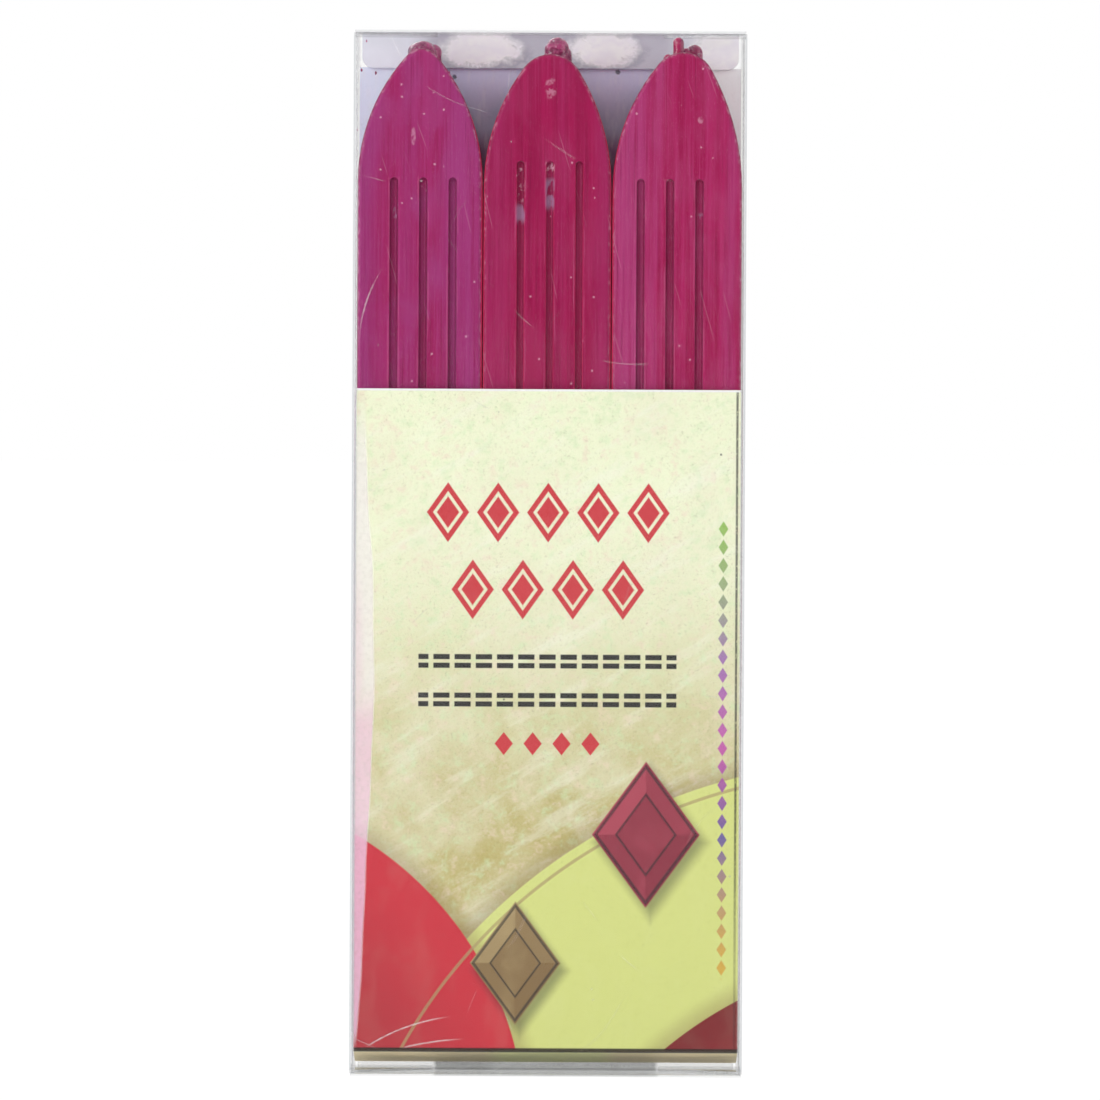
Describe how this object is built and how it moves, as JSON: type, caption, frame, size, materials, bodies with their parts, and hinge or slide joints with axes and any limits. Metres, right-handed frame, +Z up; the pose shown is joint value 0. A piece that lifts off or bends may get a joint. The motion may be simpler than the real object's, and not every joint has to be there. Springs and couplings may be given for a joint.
{
  "type": "boxed sealing wax sticks",
  "caption": "Flat clear tuck-top carton holding grooved sealing wax sticks with wicks, side by side behind a folded printed card insert.",
  "frame": {"origin": "centre of the carton's footprint, on the underside of its bottom panel", "axes": "+X to the right as seen from the front, +Y from the front panel to the back panel, +Z up from the bottom panel to the lid"},
  "size_m": [0.0408, 0.0114, 0.1086],
  "materials": {
    "clear_sheet": "clear, glossy",
    "printed_card": "printed, matt outside, white inside",
    "sealing_wax": "cast raspberry wax, satin",
    "waxed_wick": "cotton wick coated with the same wax"
  },
  "bodies": {
    "carton": {"carton_sleeve": "clear_sheet", "bottom_panel": "clear_sheet", "bottom_tuck_flap": "clear_sheet", "bottom_dust_flap_left": "clear_sheet", "bottom_dust_flap_right": "clear_sheet", "card_insert": "printed_card"},
    "lid": {"top_lid": "clear_sheet"},
    "tuck_flap": {"top_tuck_flap": "clear_sheet"},
    "dust_flap_left": {"top_dust_flap_left": "clear_sheet"},
    "dust_flap_right": {"top_dust_flap_right": "clear_sheet"},
    "stick_left": {"wax_stick_left": "sealing_wax", "wick_left": "waxed_wick"},
    "stick_middle": {"wax_stick_middle": "sealing_wax", "wick_middle": "waxed_wick"},
    "stick_right": {"wax_stick_right": "sealing_wax", "wick_right": "waxed_wick"}
  },
  "joints": [
    {"name": "lid_crease", "type": "hinge", "parent": "carton", "child": "lid", "pos_m": [0, -0.00558, 0.10848], "axis": [1, 0, 0], "range_deg": [0, 180]},
    {"name": "tuck_crease", "type": "hinge", "parent": "lid", "child": "tuck_flap", "pos_m": [0, 0.00522, 0.10848], "axis": [1, 0, 0], "range_deg": [0, 22.5]},
    {"name": "dust_crease_left", "type": "hinge", "parent": "carton", "child": "dust_flap_left", "pos_m": [-0.02028, 0, 0.10818], "axis": [0, -1, 0], "range_deg": [0, 90]},
    {"name": "dust_crease_right", "type": "hinge", "parent": "carton", "child": "dust_flap_right", "pos_m": [0.02028, 0, 0.10818], "axis": [0, 1, 0], "range_deg": [0, 90]},
    {"name": "stick_play_left", "type": "slide", "parent": "carton", "child": "stick_left", "axis": [0, 0, 1], "range_m": [0, 0.0002]},
    {"name": "stick_play_middle", "type": "slide", "parent": "carton", "child": "stick_middle", "axis": [0, 0, 1], "range_m": [0, 0.0002]},
    {"name": "stick_play_right", "type": "slide", "parent": "carton", "child": "stick_right", "axis": [0, 0, 1], "range_m": [0, 0.0002]}
  ],
  "couplings": [
    {"joint": "tuck_crease", "follows": "lid_crease", "ratio": 0.125},
    {"joint": "dust_crease_left", "follows": "lid_crease", "ratio": 0.5},
    {"joint": "dust_crease_right", "follows": "lid_crease", "ratio": 0.5}
  ]
}
